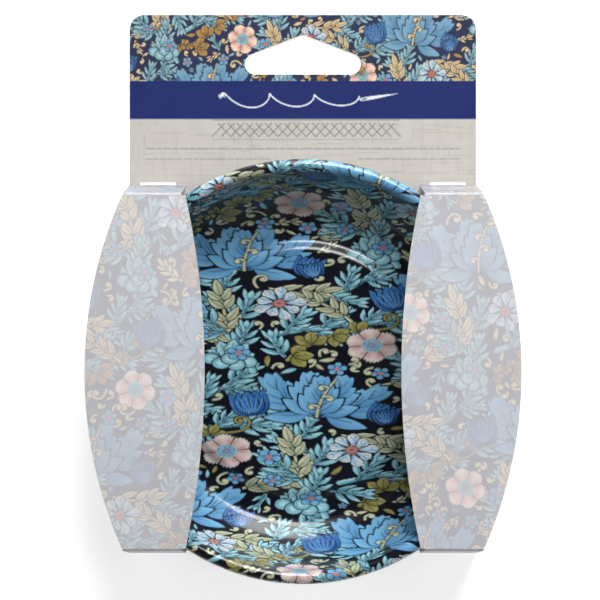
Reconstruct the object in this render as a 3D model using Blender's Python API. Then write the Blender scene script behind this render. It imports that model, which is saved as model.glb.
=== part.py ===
"""Magnetic pin dish in its folded hang card, lying on its back with the bowl facing up.

The dish is a turned sheet-steel bowl with a curled rim, a magnet taped under its raised floor and a
foam foot pad. A card band wraps it: the back panel lies on the table, and two bottom flaps, two front
panels and two top flaps go round the dish on each side of a window. A header with a hang slot
continues the back panel. Millimetre values are turned to metres where a mesh is made.
The origin is on the dish's axis, on the underside of the back panel. +Y points to the hang slot.
"""

import math

import bmesh
import bpy
from mathutils import Matrix, Vector

MM = 0.001

# Card, in millimetres
CARD = 0.5                 # thickness of the card
CREASE_GAP = 0.4           # from a crease's axis to the edge of each panel that meets there
BACK_Y = 50.5              # the creases at both ends of the back panel
FRONT_Y = 47.1             # the creases at both ends of the front panels
FRONT_Z = 24.75            # the middle of the front panels' thickness
BACK_Z = CARD / 2          # the middle of the back panel's thickness
END_HALF_WIDTH = 47.75     # half of the card's width at every crease
SIDE_HALF_WIDTH = 57.8     # half of the card's width where its sides bulge most
WINDOW_END = 31.2          # half of the window's width at the front creases
WINDOW_MIDDLE = 26.0       # half of the window's width at its waist
FLAP_INNER_X = 32.2        # where the flaps start, clear of the dish's rim
HEADER_TOP = 97.6          # top edge of the header
HEADER_CORNER = 4.0        # radius of the header's top corners
EDGE_STEPS = 12            # segments along each curved card edge

# Hang slot in the header
SLOT_BOTTOM = 81.2
SLOT_HEIGHT = 10.8
SLOT_HALF_WIDTH = 16.0
SLOT_END_RADIUS = 2.9      # round ends of the slot
SLOT_PEAK_RADIUS = 3.0     # round top of the slot

# Lock tabs of the top flaps, which go down into notches on the header's crease
TAB_MIDDLE_X = 40.0
TAB_HALF_WIDTH = 4.0
TAB_CLEARANCE = 1.0
TAB_NOTCH = 1.2            # depth of the header's notch from the crease's axis
FLAP_LIFT = 1.0            # from the header's crease to the lower edge of a top flap
TAB_REACH = 0.1            # how far a tab goes past the crease's axis

# Dish, as heights above the table and radii
SHEET = 0.5
PAD_BOTTOM = 0.8
PAD_RADIUS = 36.0
PAD_TOP = 5.2
PAD_SKIN = 0.8             # foam left under the magnet
MAGNET_RADIUS = 25.0
TAPE_RADIUS = 24.0
TAPE_THICKNESS = 0.6
FIT = 0.3                  # gap between pieces that touch
FOOT_TOP = 6.0             # upper face of the foot ring
FLOOR_RISE = 1.2           # the middle of the floor stands this much above the foot ring
FLOOR_RADIUS = 33.3        # edge of the raised floor
STEP_WIDTH = 1.6           # sloping step between the raised floor and the foot ring
FOOT_RADIUS = 40.0         # where the foot ring turns up into the wall
FOOT_BEND = 5.0            # radius of that bend
WALL_LOW_ANGLE = 35.0      # slope of the wall above the bend, in degrees
WALL_HIGH_ANGLE = 80.0     # slope of the wall below the rim, in degrees
WALL_BEND = 24.6           # radius of the wall's long curve
CURL_RADIUS = 1.75         # outer radius of the curled rim
CURL_TURN = 250.0          # how far the rim curls over, in degrees
TURN_STEPS = 64            # segments round the dish

COLOURS = {
    "card_print": ((0.80, 0.79, 0.84, 1), 0.45, 0.0),
    "header_print": ((0.10, 0.14, 0.33, 1), 0.35, 0.0),
    "tin_print": ((0.10, 0.24, 0.36, 1), 0.22, 0.35),
    "ferrite": ((0.09, 0.09, 0.10, 1), 0.55, 0.3),
    "tape": ((0.86, 0.86, 0.84, 1), 0.8, 0.0),
    "foam": ((0.05, 0.05, 0.055, 1), 0.9, 0.0),
}


def clear_scene():
    for obj in list(bpy.data.objects):
        bpy.data.objects.remove(obj, do_unlink=True)


def material(name):
    found = bpy.data.materials.get(name)
    if found:
        return found
    colour, roughness, metallic = COLOURS[name]
    made = bpy.data.materials.new(name)
    made.use_nodes = True
    shader = made.node_tree.nodes["Principled BSDF"]
    shader.inputs["Base Color"].default_value = colour
    shader.inputs["Roughness"].default_value = roughness
    shader.inputs["Metallic"].default_value = metallic
    return made


def new_object(name, mesh, material_name, parent):
    obj = bpy.data.objects.new(name, mesh)
    obj.data.materials.append(material(material_name))
    bpy.context.scene.collection.objects.link(obj)
    obj.parent = parent
    return obj


def pivot(name, y, z, slope=0.0):
    """An empty on a crease's axis. Its local +Y runs along the panel that starts there."""
    empty = bpy.data.objects.new(name, None)
    empty.location = (0, y * MM, z * MM)
    empty.rotation_euler = (math.radians(slope), 0, 0)
    bpy.context.scene.collection.objects.link(empty)
    return empty


# ---------------------------------------------------------------- card

def arc_half_width(y, reach, at_ends, at_middle):
    """Half width at y of an edge that is one circular arc from -reach to reach."""
    sag = at_middle - at_ends
    radius = (reach * reach + sag * sag) / (2 * abs(sag))
    drop = radius - math.sqrt(radius * radius - y * y)
    return at_middle - math.copysign(drop, sag)


def spread(start, end, steps):
    return [start + (end - start) * i / steps for i in range(steps + 1)]


def corner(centre, radius, start, end, steps=5):
    """Points on an arc between two angles in degrees."""
    return [
        (centre[0] + radius * math.cos(math.radians(a)), centre[1] + radius * math.sin(math.radians(a)))
        for a in spread(start, end, steps)
    ]


def card_panel(name, outline, parent, material_name="card_print", hole=None):
    """A flat panel of card on its parent's local XY plane. The outline runs anticlockwise."""
    edges = bmesh.new()
    loops = []
    for points in [outline] + ([hole] if hole else []):
        ring = [edges.verts.new((x * MM, y * MM, -CARD / 2 * MM)) for x, y in points]
        loops += [edges.edges.new((a, b)) for a, b in zip(ring, ring[1:] + ring[:1])]
    faces = bmesh.ops.triangle_fill(edges, use_beauty=True, use_dissolve=False, edges=loops)["geom"]
    faces = [f for f in faces if isinstance(f, bmesh.types.BMFace)]
    raised = bmesh.ops.extrude_face_region(edges, geom=faces)["geom"]
    top = [v for v in raised if isinstance(v, bmesh.types.BMVert)]
    bmesh.ops.translate(edges, vec=(0, 0, CARD * MM), verts=top)
    bmesh.ops.recalc_face_normals(edges, faces=edges.faces)
    mesh = bpy.data.meshes.new(name)
    edges.to_mesh(mesh)
    edges.free()
    return new_object(name, mesh, material_name, parent)


def mirrored(outline):
    """The outline on the other side of X = 0, still anticlockwise."""
    return [(-x, y) for x, y in reversed(outline)]


def back_outline():
    """The back panel, with a notch for each lock tab on the header's side."""
    reach = BACK_Y - CREASE_GAP
    right = [
        (arc_half_width(y, BACK_Y, END_HALF_WIDTH, SIDE_HALF_WIDTH), y)
        for y in spread(-reach, reach, EDGE_STEPS)
    ]
    half_notch = TAB_HALF_WIDTH + TAB_CLEARANCE
    low = BACK_Y - 2 * CREASE_GAP
    right += [
        (TAB_MIDDLE_X + half_notch, reach),
        (TAB_MIDDLE_X + half_notch, low),
        (TAB_MIDDLE_X - half_notch, low),
        (TAB_MIDDLE_X - half_notch, reach),
    ]
    return right + mirrored(right)


def header_outline():
    """The header, from its crease upwards, in coordinates that start on the crease."""
    top = HEADER_TOP - BACK_Y
    half_notch = TAB_HALF_WIDTH + TAB_CLEARANCE
    right = [
        (TAB_MIDDLE_X - half_notch, CREASE_GAP),
        (TAB_MIDDLE_X - half_notch, TAB_NOTCH),
        (TAB_MIDDLE_X + half_notch, TAB_NOTCH),
        (TAB_MIDDLE_X + half_notch, CREASE_GAP),
        (END_HALF_WIDTH, CREASE_GAP),
    ]
    centre = (END_HALF_WIDTH - HEADER_CORNER, top - HEADER_CORNER)
    right += corner(centre, HEADER_CORNER, 0, 90)
    return right + mirrored(right)


def slot_outline():
    """The hang slot: a flat bottom, two round ends and a roof that rises to a round peak."""
    bottom = SLOT_BOTTOM - BACK_Y
    end = (SLOT_HALF_WIDTH - SLOT_END_RADIUS, bottom + SLOT_END_RADIUS)
    peak = (0.0, bottom + SLOT_HEIGHT - SLOT_PEAK_RADIUS)
    # The roof is the common tangent of the end's circle and the peak's circle.
    run, rise = end[0] - peak[0], peak[1] - end[1]
    between = math.hypot(run, rise)
    tilt = math.degrees(math.atan2(run, rise) + math.asin((SLOT_END_RADIUS - SLOT_PEAK_RADIUS) / between))
    right = corner(end, SLOT_END_RADIUS, -90, tilt, 8)
    right += corner(peak, SLOT_PEAK_RADIUS, tilt, 90, 4)
    return right + mirrored(right)[1:]


def front_outline():
    """The right front panel, in coordinates that start on its lower crease."""
    low, high = CREASE_GAP - FRONT_Y, FRONT_Y - CREASE_GAP
    outer = [
        (arc_half_width(y, FRONT_Y, END_HALF_WIDTH, SIDE_HALF_WIDTH), y + FRONT_Y)
        for y in spread(low, high, EDGE_STEPS)
    ]
    inner = [
        (arc_half_width(y, FRONT_Y, WINDOW_END, WINDOW_MIDDLE), y + FRONT_Y)
        for y in spread(high, low, EDGE_STEPS)
    ]
    return outer + inner


def flap_length():
    return math.hypot(BACK_Y - FRONT_Y, FRONT_Z - BACK_Z)


def bottom_flap_outline():
    """The right bottom flap, from the back panel's crease up to the front panel's."""
    low, high = CREASE_GAP, flap_length() - CREASE_GAP
    return [(FLAP_INNER_X, low), (END_HALF_WIDTH, low), (END_HALF_WIDTH, high), (FLAP_INNER_X, high)]


def top_flap_outline():
    """The right top flap, from the front panel's crease down to the header's, with its lock tab."""
    low, high = CREASE_GAP, flap_length() - FLAP_LIFT
    tip = flap_length() + TAB_REACH
    return [
        (FLAP_INNER_X, low),
        (END_HALF_WIDTH, low),
        (END_HALF_WIDTH, high),
        (TAB_MIDDLE_X + TAB_HALF_WIDTH, high),
        (TAB_MIDDLE_X + TAB_HALF_WIDTH - 1, tip),
        (TAB_MIDDLE_X - TAB_HALF_WIDTH + 1, tip),
        (TAB_MIDDLE_X - TAB_HALF_WIDTH, high),
        (FLAP_INNER_X, high),
    ]


def build_card():
    slope = math.degrees(math.atan2(FRONT_Z - BACK_Z, BACK_Y - FRONT_Y))
    back = pivot("back_origin", 0, BACK_Z)
    header = pivot("header_crease", BACK_Y, BACK_Z)
    bottom = pivot("bottom_crease", -BACK_Y, BACK_Z, slope)
    front = pivot("front_crease", -FRONT_Y, FRONT_Z)
    top = pivot("top_crease", FRONT_Y, FRONT_Z, -slope)
    card_panel("back_panel", back_outline(), back)
    card_panel("header_panel", header_outline(), header, "header_print", slot_outline())
    pairs = [
        ("bottom_flap", bottom_flap_outline(), bottom),
        ("front_panel", front_outline(), front),
        ("top_flap", top_flap_outline(), top),
    ]
    for name, outline, parent in pairs:
        card_panel(name + "_right", outline, parent)
        card_panel(name + "_left", mirrored(outline), parent)


# ---------------------------------------------------------------- dish

def turned(name, profile, material_name, parent):
    """A solid of revolution. The profile is a loop of (radius, height), down its outer side first."""
    made = bmesh.new()
    rings = []
    for radius, height in profile:
        if radius < 1e-6:
            rings.append([made.verts.new((0, 0, height * MM))])
            continue
        angles = [2 * math.pi * i / TURN_STEPS for i in range(TURN_STEPS)]
        rings.append([
            made.verts.new((radius * math.cos(a) * MM, radius * math.sin(a) * MM, height * MM)) for a in angles
        ])
    for upper, lower in zip(rings, rings[1:] + rings[:1]):
        if len(upper) == len(lower) == 1:
            continue
        for i in range(TURN_STEPS):
            j = (i + 1) % TURN_STEPS
            corners = [upper[i % len(upper)], lower[i % len(lower)], lower[j % len(lower)], upper[j % len(upper)]]
            made.faces.new(list(dict.fromkeys(corners)))
    bmesh.ops.recalc_face_normals(made, faces=made.faces)
    mesh = bpy.data.meshes.new(name)
    made.to_mesh(mesh)
    made.free()
    mesh.shade_smooth()
    mesh.set_sharp_from_angle(angle=math.radians(35))
    return new_object(name, mesh, material_name, parent)


def bend(point, heading, radius, turn, steps):
    """Points after `point` on an arc that turns left by `turn` degrees, or right if it is negative."""
    side = math.copysign(1, turn)
    centre = Vector(point) + side * radius * Vector((-math.sin(heading), math.cos(heading)))
    arm = Vector(point) - centre
    return [
        tuple(centre + Matrix.Rotation(math.radians(turn * i / steps), 2) @ arm) for i in range(1, steps + 1)
    ]


def dish_path():
    """The upper face of the sheet, from the axis out to the end of the curled rim."""
    floor = FOOT_TOP + FLOOR_RISE
    path = [(0.0, floor), (FLOOR_RADIUS, floor), (FLOOR_RADIUS + STEP_WIDTH, FOOT_TOP), (FOOT_RADIUS, FOOT_TOP)]
    low, high = WALL_LOW_ANGLE, WALL_HIGH_ANGLE
    path += bend(path[-1], 0.0, FOOT_BEND, low, 4)
    path += bend(path[-1], math.radians(low), WALL_BEND, high - low, 6)
    path += bend(path[-1], math.radians(high), CURL_RADIUS, -CURL_TURN, 10)
    return path


def offset_path(path, distance):
    """The path moved sideways, to the right of its direction, with mitred corners."""
    moved = []
    for i, here in enumerate(path):
        before = path[max(i - 1, 0)]
        after = path[min(i + 1, len(path) - 1)]
        normals = []
        for a, b in ((before, here), (here, after)):
            along = Vector(b) - Vector(a)
            if along.length > 1e-9:
                along.normalize()
                normals.append(Vector((along.y, -along.x)))
        mean = sum(normals, Vector((0, 0))) / len(normals)
        moved.append(tuple(Vector(here) + mean * (distance / mean.length_squared)))
    return moved


def build_dish():
    dish = pivot("dish_axis", 0, 0)
    upper = dish_path()
    lower = offset_path(upper, SHEET)
    lower[0] = (0.0, upper[0][1] - SHEET)
    turned("dish_shell", upper + list(reversed(lower)), "tin_print", dish)

    tape_top = upper[0][1] - SHEET - FIT
    tape_bottom = tape_top - TAPE_THICKNESS
    turned("magnet_tape", [(0, tape_top), (TAPE_RADIUS, tape_top), (TAPE_RADIUS, tape_bottom), (0, tape_bottom)],
           "tape", dish)

    magnet_top = tape_bottom - FIT
    magnet_bottom = PAD_BOTTOM + PAD_SKIN + FIT
    edge = 0.4
    turned("magnet", [
        (0, magnet_top),
        (MAGNET_RADIUS - edge, magnet_top),
        (MAGNET_RADIUS, magnet_top - edge),
        (MAGNET_RADIUS, magnet_bottom + edge),
        (MAGNET_RADIUS - edge, magnet_bottom),
        (0, magnet_bottom),
    ], "ferrite", dish)

    pocket = MAGNET_RADIUS + 2 * FIT
    turned("base_pad", [
        (0, PAD_BOTTOM + PAD_SKIN),
        (pocket, PAD_BOTTOM + PAD_SKIN),
        (pocket, PAD_TOP),
        (PAD_RADIUS, PAD_TOP),
        (PAD_RADIUS, PAD_BOTTOM),
        (0, PAD_BOTTOM),
    ], "foam", dish)


def main():
    clear_scene()
    build_card()
    build_dish()


main()
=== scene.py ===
"""A magnetic pin dish in its hang card, on a pale table.

The dish and the printed faces of the card are dense meshes. Their floral print is drawn in this script:
each motif is a function that inks the mesh's own points, and the result is a colour attribute that the
materials read. Lengths on the card, the dish and the artwork are in millimetres.
"""
import math
import random
import bmesh
import bpy
import numpy as np
from mathutils import Matrix, Vector, geometry


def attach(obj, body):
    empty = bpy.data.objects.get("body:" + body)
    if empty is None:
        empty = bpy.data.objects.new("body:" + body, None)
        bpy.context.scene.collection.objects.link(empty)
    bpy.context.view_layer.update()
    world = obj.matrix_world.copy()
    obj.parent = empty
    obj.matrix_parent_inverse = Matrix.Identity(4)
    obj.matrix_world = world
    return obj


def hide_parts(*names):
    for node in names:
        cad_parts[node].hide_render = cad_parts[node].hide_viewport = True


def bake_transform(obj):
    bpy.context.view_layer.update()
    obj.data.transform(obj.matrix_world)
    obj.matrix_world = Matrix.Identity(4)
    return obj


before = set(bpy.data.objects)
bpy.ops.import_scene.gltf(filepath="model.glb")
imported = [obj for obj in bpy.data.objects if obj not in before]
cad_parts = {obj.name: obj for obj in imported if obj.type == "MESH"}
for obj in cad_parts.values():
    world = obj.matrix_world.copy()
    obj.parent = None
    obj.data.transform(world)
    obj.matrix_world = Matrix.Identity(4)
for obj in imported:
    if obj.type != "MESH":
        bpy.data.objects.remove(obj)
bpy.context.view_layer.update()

MM = 0.001

# Card, as the solids have it, in millimetres
CARD = 0.5
CREASE_GAP = 0.4
BACK_Y, BACK_Z = 50.5, 0.25
FRONT_Y, FRONT_Z = 47.1, 24.75
END_HALF_WIDTH, SIDE_HALF_WIDTH = 47.75, 57.8
WINDOW_END, WINDOW_MIDDLE = 31.2, 26.0
FLAP_INNER_X = 32.2
HEADER_TOP, HEADER_CORNER = 97.6, 4.0
SLOT_BOTTOM, SLOT_HEIGHT, SLOT_HALF_WIDTH = 81.2, 10.8, 16.0
SLOT_END_RADIUS, SLOT_PEAK_RADIUS = 2.9, 3.0
TAB_MIDDLE_X, TAB_HALF_WIDTH, TAB_CLEARANCE = 40.0, 4.0, 1.0
TAB_NOTCH = 1.0     # 0.2 less than the solid's, which keeps the drawn notch narrow
FLAP_LIFT, TAB_REACH = 1.0, 0.1

# Dish, as the solid has it
SHEET = 0.5
FOOT_TOP, FLOOR_RISE, FLOOR_RADIUS, STEP_WIDTH, FOOT_RADIUS = 6.0, 1.2, 33.3, 1.6, 40.0
FOOT_BEND, WALL_LOW_ANGLE, WALL_HIGH_ANGLE, WALL_BEND = 5.0, 35.0, 80.0, 24.6
CURL_RADIUS, CURL_TURN = 1.75, 250.0

# Spacing of the points that hold the print, of those on plain card, and of those on a card's back
PRINT_SPACING = 0.28
PLAIN_SPACING, BACK_SPACING = 2.0, 3.0
# How far the strip of a crease runs onto its two panels, and how far the header's dips between them
CREASE_LAP, CREASE_DIP = 0.06, 0.02
SMOOTH_ANGLE = math.radians(50)     # a smooth surface keeps the edges that turn more than this


def srgb(red, green, blue):
    """An sRGB colour of 0 to 255 as linear numbers."""
    def linear(c):
        c /= 255
        return c / 12.92 if c <= 0.04045 else ((c + 0.055) / 1.055) ** 2.4
    return tuple(linear(c) for c in (red, green, blue))


# ---------------------------------------------------------------- the floral's motifs

class Print:
    """Ink on a cloud of points. Points are in millimetres on the flat artwork."""

    EDGE = 0.16      # width of a soft edge
    LINE = 0.24      # width of the dark line round each shape

    def __init__(self, points, ink, colours=None):
        self.low, self.high = points.min(axis=0), points.max(axis=0)
        order = np.argsort(points[:, 0], kind="stable")
        self.order = order
        self.x, self.y = points[order, 0], points[order, 1]
        self.ink = ink
        if colours is None:
            colours = np.tile(np.array(ink["ground"], float), (len(order), 1))
        self.rgb = colours[order]
        self.used = np.zeros(len(order))

    def near(self, x, y, reach):
        first, last = np.searchsorted(self.x, (x - reach, x + reach))
        near = np.nonzero(np.abs(self.y[first:last] - y) < reach)[0] + first
        return near, self.x[near] - x, self.y[near] - y

    def turned(self, x, y, angle, reach):
        """Points near (x, y), with u along the angle and v to its left."""
        near, dx, dy = self.near(x, y, reach)
        c, s = math.cos(angle), math.sin(angle)
        return near, dx * c + dy * s, dy * c - dx * s

    def lay(self, near, depth, colour, outlined=True):
        """Ink where depth is positive. depth is the distance inside the shape's edge."""
        if outlined:
            alpha = np.clip(0.5 + (depth + self.LINE) / self.EDGE, 0, 1)[:, None]
            self.rgb[near] += alpha * (np.array(self.ink["line"][0]) - self.rgb[near])
            self.used[near] = np.maximum(self.used[near], alpha[:, 0])
        alpha = np.clip(0.5 + depth / self.EDGE, 0, 1)[:, None]
        self.rgb[near] += alpha * (colour - self.rgb[near])

    def tint(self, near, amount, colour):
        self.rgb[near] += np.clip(amount, 0, 1)[:, None] * (np.array(colour) - self.rgb[near])

    def result(self):
        out = np.empty_like(self.rgb)
        out[self.order] = np.clip(self.rgb, 0, 1)
        return out


def mix(a, b, t):
    """Colours between a and b, one row for each t."""
    return np.array(a) + (np.array(b) - np.array(a)) * np.asarray(t)[:, None]


def blade(art, x, y, angle, length, width, ink, belly=0.42, teeth=0, bend=0.0, veins=0,
          rib=True, outlined=True):
    """A pointed leaf or lobe that starts at (x, y) and is widest at `belly` of its length."""
    near, u, v = art.turned(x, y, angle, length * 1.15 + width)
    if not len(near):
        return
    dark, light = art.ink[ink]
    t = u / length
    v = v - bend * length * t * t
    inside = np.clip(t, 0, 1)
    half = width / 2 * np.sin(np.pi * inside ** (math.log(0.5) / math.log(belly))) ** 0.8
    if teeth:
        saw = (inside * teeth) % 1.0
        half = half * (0.74 + 0.26 * (1 - saw)) + 0.02 * width
    beyond = np.maximum(np.maximum(-u, u - length), 0)
    depth = np.where((t > 0) & (t < 1), half - np.abs(v), -np.hypot(beyond, np.abs(v)))
    side = np.abs(v) / np.maximum(half, 0.05)
    shade = 0.25 + 0.65 * inside + 0.25 * np.clip(v / (width / 2), -1, 1)
    art.lay(near, depth, mix(dark, light, np.clip(shade, 0, 1)), outlined)
    if not outlined:
        art.used[near] = np.maximum(art.used[near], (depth > 0) * 1.0)
    show = depth > 0.05
    if rib and width > 1.2:
        art.tint(near, show * np.clip(1.1 - np.abs(v) / 0.18, 0, 1) * (t < 0.85) * 0.65, art.ink["line"][0])
    if veins:
        phase = np.abs(((inside * veins - side * 0.55) % 1.0) - 0.5)
        line = np.clip(1 - phase / 0.12, 0, 1) * (side > 0.12) * (side < 0.8)
        art.tint(near, show * line * 0.38, art.ink["line"][0])


def stroke(art, points, start_width, end_width, ink, outlined=True, strength=1.0):
    """A line through the points, its width changing from one end to the other."""
    dark, light = art.ink[ink]
    steps = len(points) - 1
    for passes in ((True, False) if outlined else (False,)):
        for i, ((ax, ay), (bx, by)) in enumerate(zip(points, points[1:])):
            long = math.hypot(bx - ax, by - ay)
            if long < 1e-6:
                continue
            width = start_width + (end_width - start_width) * (i + 0.5) / steps
            near, u, v = art.turned(ax, ay, math.atan2(by - ay, bx - ax), long + width)
            if not len(near):
                continue
            along = np.clip(u, 0, long)
            depth = width / 2 - np.hypot(u - along, v)
            if passes:
                alpha = np.clip(0.5 + (depth + art.LINE * 0.7) / art.EDGE, 0, 1)
                art.tint(near, alpha, art.ink["line"][0])
                art.used[near] = np.maximum(art.used[near], alpha)
            else:
                colour = mix(dark, light, np.clip(0.55 + v / width, 0, 1))
                alpha = strength * np.clip(0.5 + depth / art.EDGE, 0, 1)[:, None]
                art.rgb[near] += alpha * (colour - art.rgb[near])


def arc(x, y, angle, length, turn, steps=10):
    """Points along a curve from (x, y) that turns by `turn` radians in all."""
    points = [(x, y)]
    for i in range(steps):
        heading = angle + turn * (i + 0.5) / steps
        x, y = x + length / steps * math.cos(heading), y + length / steps * math.sin(heading)
        points.append((x, y))
    return points


def spiral(x, y, angle, size, hand, turns=1.55, steps=26):
    """Points of a tendril that starts at (x, y) and winds in on itself."""
    points = [(x, y)]
    for i in range(steps):
        along = (i + 0.5) / steps
        heading = angle + hand * turns * 2 * math.pi * along ** 1.5
        step = size * 6.5 / steps * (1.1 - 0.95 * along)
        x, y = x + step * math.cos(heading), y + step * math.sin(heading)
        points.append((x, y))
    return points


def curl(art, x, y, angle, size, hand, ink="cream"):
    points = spiral(x, y, angle, size, hand)
    stroke(art, points, 0.44, 0.34, ink)
    near, dx, dy = art.near(*points[-1], 1.0)
    art.lay(near, 0.3 - np.hypot(dx, dy), mix(*art.ink[ink], np.full(len(near), 0.8)), outlined=False)


def rose(art, x, y, angle, size, petals=6):
    """An open flower with broad notched petals round a stippled eye."""
    near, dx, dy = art.near(x, y, size * 1.3)
    radius, turn = np.hypot(dx, dy), np.arctan2(dy, dx) - angle
    phase = (turn * petals / (2 * np.pi)) % 1.0 - 0.5
    edge = size * (1.0 - 0.9 * np.abs(phase) ** 2.2 + 0.035 * np.cos(phase * 2 * np.pi * 7) - 0.05)
    r = radius / size
    deep, pale = art.ink["petal"]
    art.lay(near, edge - radius, mix(deep, pale, np.clip(0.05 + 1.15 * r - 0.25 * np.abs(phase), 0, 1)))
    inside = radius < edge
    blush = np.exp(-((np.abs(phase) - 0.3) / 0.11) ** 2) * np.exp(-((r - 0.55) / 0.22) ** 2)
    art.tint(near, inside * blush * 0.75, art.ink["blush"])
    gap = np.abs(np.abs(phase) - 0.5) * radius * 2 * np.pi / petals
    seam = np.clip(1.15 - gap / (0.16 + 0.10 * r * size / 4), 0, 1)
    art.tint(near, inside * (r > 0.36) * seam * 0.9, art.ink["line"][0])
    streak = np.clip(1 - np.abs(((turn * petals * 1.5 / np.pi) % 1.0) - 0.5) / 0.16, 0, 1)
    art.tint(near, inside * streak * (r > 0.4) * (r < 0.72) * 0.22, art.ink["blush"])
    eye = 0.33 * size
    art.lay(near, eye * 1.18 - radius, mix(*art.ink["eye"], np.clip(r / 0.4, 0, 1)), outlined=False)
    dots = (np.sin(dx * 7.1 + 1.3 * np.sin(dy * 5)) * np.sin(dy * 7.7 + 1.1)) > 0.12
    art.tint(near, dots * (radius < eye) * 0.75, art.ink["blue"][0])
    spark = np.clip(1 - np.abs(radius - eye * 0.62) / 0.22, 0, 1) * (np.sin(turn * 11) > 0.1)
    art.tint(near, spark * 0.8, art.ink["cream"][1])
    art.tint(near, np.clip(1 - radius / (0.16 * size), 0, 1) * 0.7, art.ink["blush"])


def aster(art, x, y, angle, size, petals=9):
    """A flower of rolled petals, half of each pale and half blue."""
    for i in range(petals):
        way = angle + 2 * math.pi * i / petals
        reach = size * (0.86 + 0.14 * math.cos(2.6 * i))
        cx, cy = x + 0.16 * size * math.cos(way), y + 0.16 * size * math.sin(way)
        blade(art, cx, cy, way, reach * 0.88, size * 0.46, "mist", belly=0.72, rib=False)
        near, u, v = art.turned(cx, cy, way, reach)
        t = u / (reach * 0.88)
        stripe = np.clip(1 - np.abs(v + 0.07 * size) / (0.075 * size), 0, 1)
        art.tint(near, (t > 0.2) * (t < 0.86) * stripe * 0.8, art.ink["blue"][1])
        tip = (x + reach * 0.86 * math.cos(way), y + reach * 0.86 * math.sin(way))
        near, dx, dy = art.near(*tip, size * 0.3)
        ring = np.abs(np.hypot(dx, dy) - 0.11 * size)
        art.tint(near, np.clip(1 - ring / 0.16, 0, 1) * 0.55, art.ink["line"][0])
    near, dx, dy = art.near(x, y, size * 0.4)
    radius = np.hypot(dx, dy)
    art.lay(near, 0.2 * size - radius, mix(*art.ink["heart"], np.clip(radius / (0.2 * size), 0, 1)))
    spokes = np.sin(np.arctan2(dy, dx) * 12) > 0.2
    art.tint(near, spokes * (radius < 0.3 * size) * (radius > 0.06 * size) * 0.6, art.ink["heart"][1])


def floret(art, x, y, angle, size, petals=5, ink="blue"):
    """A small flower of round petals."""
    near, dx, dy = art.near(x, y, size * 1.4)
    radius, turn = np.hypot(dx, dy), np.arctan2(dy, dx) - angle
    phase = (turn * petals / (2 * np.pi)) % 1.0 - 0.5
    edge = size * (0.56 + 0.44 * np.cos(phase * np.pi) ** 0.8)
    r = radius / size
    art.lay(near, edge - radius, mix(*art.ink[ink], np.clip(1.1 * r, 0, 1)))
    gap = np.abs(np.abs(phase) - 0.5) * radius * 2 * np.pi / petals
    art.tint(near, (radius < edge) * (r > 0.3) * np.clip(1.2 - gap / 0.2, 0, 1) * 0.8, art.ink["line"][0])
    art.lay(near, 0.28 * size - radius, mix(*art.ink["heart"], np.full(len(near), 0.8)), outlined=False)


def tulip(art, x, y, angle, size, ink="royal"):
    """A bell-shaped flower seen from the side, standing on (x, y)."""
    petals = ((-0.85, 1.0, 0.45), (0.85, 1.0, -0.45), (-0.42, 0.98, 0.2), (0.42, 0.98, -0.2),
              (0.0, 1.0, 0.0))
    for spread, long, curve in petals:
        blade(art, x, y, angle + spread, size * long, size * 0.46, ink, belly=0.46, bend=curve, veins=5)
    for spread in (-0.7, -0.4, -0.12, 0.12, 0.4, 0.7):
        start = (x + 0.15 * size * math.cos(angle + spread), y + 0.15 * size * math.sin(angle + spread))
        streak = arc(*start, angle + spread, size * 0.62, -0.7 * spread, 5)
        stroke(art, streak, 0.22, 0.14, "blue", outlined=False)


def lobed(art, x, y, angle, length, ink, pairs=3, bend=0.0, full=0.3):
    """A leaf cut into pointed lobes, like a thistle's. `full` is a lobe's width as a share of its length."""
    spine = arc(x, y, angle, length, bend, 8)
    lobes = []
    for i in range(pairs):
        at = 1 + round(i * 4.6 / max(pairs - 1, 1))
        size = length * (0.54 - 0.07 * i)
        for side in (-1, 1):
            way = angle + bend * at / 8 + side * (1.02 - 0.13 * i)
            lobes.append((spine[at], way, size, size * full, -0.3 * side))
    lobes.append((spine[4], angle + bend * 0.7, length * 0.6, length * full * 0.66, 0.0))
    for grow, paint in ((art.LINE, "line"), (0.0, ink)):
        stroke(art, spine[:6], 0.62 + 2 * grow, 0.5 + 2 * grow, paint, outlined=False)
        for at, way, long, wide, curve in lobes:
            blade(art, *at, way, long + 2 * grow, wide + 2 * grow, paint, belly=0.5, bend=curve,
                  rib=False, outlined=False)
    for at, way, long, wide, curve in lobes:
        rib = arc(*at, way + curve * 0.6, long * 0.62, curve, 4)
        stroke(art, rib, 0.2, 0.14, "vein", outlined=False)
    stroke(art, spine[:6], 0.3, 0.2, "vein", outlined=False)


def branch(art, x, y, angle, length, turn, ink, leaves=5, size=6.0, start=-1):
    """A stem with lobed leaves on alternate sides and one at its end."""
    spine = arc(x, y, angle, length, turn, 12)
    stroke(art, spine, 1.25, 0.75, ink)
    for i in range(leaves):
        at = 2 + round(i * 8 / max(leaves - 1, 1))
        side = start if i % 2 else -start
        heading = angle + turn * at / 12
        lobed(art, *spine[at], heading + side * 0.85, size * (1.0 - 0.05 * i), ink, bend=-0.35 * side)
    lobed(art, *spine[-1], angle + turn, size * 1.05, ink)


def sprig(art, x, y, angle, length, turn, ink, pairs=4, size=3.4):
    """A thin stem with pairs of almond leaves."""
    spine = arc(x, y, angle, length, turn, 10)
    stroke(art, spine, 0.55, 0.4, ink)
    for i in range(pairs):
        at = 2 + round(i * 7 / max(pairs - 1, 1))
        heading = angle + turn * at / 10
        for side in (-1, 1):
            blade(art, *spine[at], heading + side * 0.85, size * (1.0 - 0.08 * i), size * 0.36, ink,
                  bend=-0.25 * side)
    blade(art, *spine[-1], angle + turn, size, size * 0.36, ink)


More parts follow.
